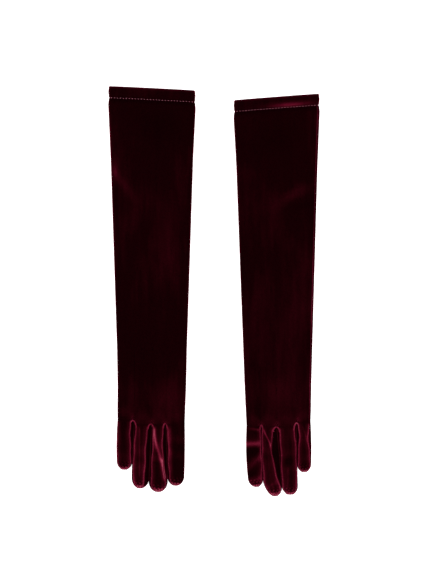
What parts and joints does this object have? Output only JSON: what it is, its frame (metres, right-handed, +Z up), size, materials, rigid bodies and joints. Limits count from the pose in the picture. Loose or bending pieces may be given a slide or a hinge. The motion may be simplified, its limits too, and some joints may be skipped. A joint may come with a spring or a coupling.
{
  "type": "opera gloves",
  "caption": "Pair of long stretch velvet opera gloves lying flat, backs up, with folding fingers, wrists and sleeves and thumbs tucked under the palms.",
  "frame": {"origin": "on the table, under the middle of the pair", "axes": "+X from the right glove to the left glove, +Y from the fingertips to the cuffs, +Z up off the table"},
  "size_m": [0.2709, 0.5258, 0.0131],
  "materials": {
    "velvet": "burgundy stretch velvet, soft sheen",
    "velvet_inner": "velvet gussets and overlocked seam allowances, dull",
    "pale_thread": "pale pink polyester thread"
  },
  "bodies": {
    "right_forearm": {"right_forearm_sleeve": "velvet", "right_forearm_seam": "velvet_inner"},
    "left_forearm": {"left_forearm_sleeve": "velvet", "left_forearm_seam": "velvet_inner"},
    "right_upper": {"right_upper_sleeve": "velvet", "right_upper_seam": "velvet_inner", "right_hem_facing": "velvet", "right_hem_stitching": "pale_thread"},
    "right_hand": {"right_hand": "velvet", "right_hand_seam": "velvet_inner"},
    "right_index": {"right_index_stall": "velvet", "right_index_fourchette": "velvet_inner"},
    "right_middle": {"right_middle_back": "velvet", "right_middle_palm": "velvet", "right_middle_inner_fourchette": "velvet_inner", "right_middle_outer_fourchette": "velvet_inner"},
    "right_ring": {"right_ring_back": "velvet", "right_ring_palm": "velvet", "right_ring_inner_fourchette": "velvet_inner", "right_ring_outer_fourchette": "velvet_inner"},
    "right_little": {"right_little_back": "velvet", "right_little_palm": "velvet", "right_little_fourchette": "velvet_inner", "right_little_seam": "velvet_inner"},
    "right_thumb": {"right_thumb_stall": "velvet", "right_thumb_seam": "velvet_inner"},
    "left_upper": {"left_upper_sleeve": "velvet", "left_upper_seam": "velvet_inner", "left_hem_facing": "velvet", "left_hem_stitching": "pale_thread"},
    "left_hand": {"left_hand": "velvet", "left_hand_seam": "velvet_inner"},
    "left_index": {"left_index_stall": "velvet", "left_index_fourchette": "velvet_inner"},
    "left_middle": {"left_middle_back": "velvet", "left_middle_palm": "velvet", "left_middle_inner_fourchette": "velvet_inner", "left_middle_outer_fourchette": "velvet_inner"},
    "left_ring": {"left_ring_back": "velvet", "left_ring_palm": "velvet", "left_ring_inner_fourchette": "velvet_inner", "left_ring_outer_fourchette": "velvet_inner"},
    "left_little": {"left_little_back": "velvet", "left_little_palm": "velvet", "left_little_fourchette": "velvet_inner", "left_little_seam": "velvet_inner"},
    "left_thumb": {"left_thumb_stall": "velvet", "left_thumb_seam": "velvet_inner"}
  },
  "joints": [
    {"name": "right_elbow_fold", "type": "hinge", "parent": "right_forearm", "child": "right_upper", "pos_m": [-0.0793, 0.1696, 0.01053], "axis": [1, 0, 0], "range_deg": [0, 150]},
    {"name": "right_wrist_fold", "type": "hinge", "parent": "right_forearm", "child": "right_hand", "pos_m": [-0.0793, -0.0754, 0.00955], "axis": [-1, 0, 0], "range_deg": [0, 90]},
    {"name": "right_index_fold", "type": "hinge", "parent": "right_hand", "child": "right_index", "pos_m": [-0.0492, -0.1699, 0.00905], "axis": [-1, 0, 0], "range_deg": [0, 90]},
    {"name": "right_middle_fold", "type": "hinge", "parent": "right_hand", "child": "right_middle", "pos_m": [-0.0706, -0.1699, 0.00905], "axis": [-1, 0, 0], "range_deg": [0, 90]},
    {"name": "right_ring_fold", "type": "hinge", "parent": "right_hand", "child": "right_ring", "pos_m": [-0.0908, -0.1699, 0.00905], "axis": [-1, 0, 0], "range_deg": [0, 90]},
    {"name": "right_little_fold", "type": "hinge", "parent": "right_hand", "child": "right_little", "pos_m": [-0.1128, -0.1639, 0.00905], "axis": [-1, 0, 0], "range_deg": [0, 90]},
    {"name": "right_thumb_swing", "type": "hinge", "parent": "right_hand", "child": "right_thumb", "pos_m": [-0.0543, -0.1024, 0.0017], "axis": [0, 0, 1], "range_deg": [0, 60]},
    {"name": "left_elbow_fold", "type": "hinge", "parent": "left_forearm", "child": "left_upper", "pos_m": [0.08062, 0.1603, 0.01053], "axis": [1, 0, 0], "range_deg": [0, 150]},
    {"name": "left_wrist_fold", "type": "hinge", "parent": "left_forearm", "child": "left_hand", "pos_m": [0.08176, -0.0798, 0.00955], "axis": [-1, 0, 0], "range_deg": [0, 90]},
    {"name": "left_index_fold", "type": "hinge", "parent": "left_hand", "child": "left_index", "pos_m": [0.0506, -0.17241, 0.00905], "axis": [-1, 0, 0], "range_deg": [0, 90]},
    {"name": "left_middle_fold", "type": "hinge", "parent": "left_hand", "child": "left_middle", "pos_m": [0.0701, -0.17241, 0.00905], "axis": [-1, 0, 0], "range_deg": [0, 90]},
    {"name": "left_ring_fold", "type": "hinge", "parent": "left_hand", "child": "left_ring", "pos_m": [0.0928, -0.17241, 0.00905], "axis": [-1, 0, 0], "range_deg": [0, 90]},
    {"name": "left_little_fold", "type": "hinge", "parent": "left_hand", "child": "left_little", "pos_m": [0.11477, -0.16653, 0.00905], "axis": [-1, 0, 0], "range_deg": [0, 90]},
    {"name": "left_thumb_swing", "type": "hinge", "parent": "left_hand", "child": "left_thumb", "pos_m": [0.05688, -0.10626, 0.0017], "axis": [0, 0, -1], "range_deg": [0, 60]},
    {"name": "left_glove_slide", "type": "slide", "parent": "right_forearm", "child": "left_forearm", "axis": [1, 0, 0], "range_m": [0, 0.15]}
  ]
}
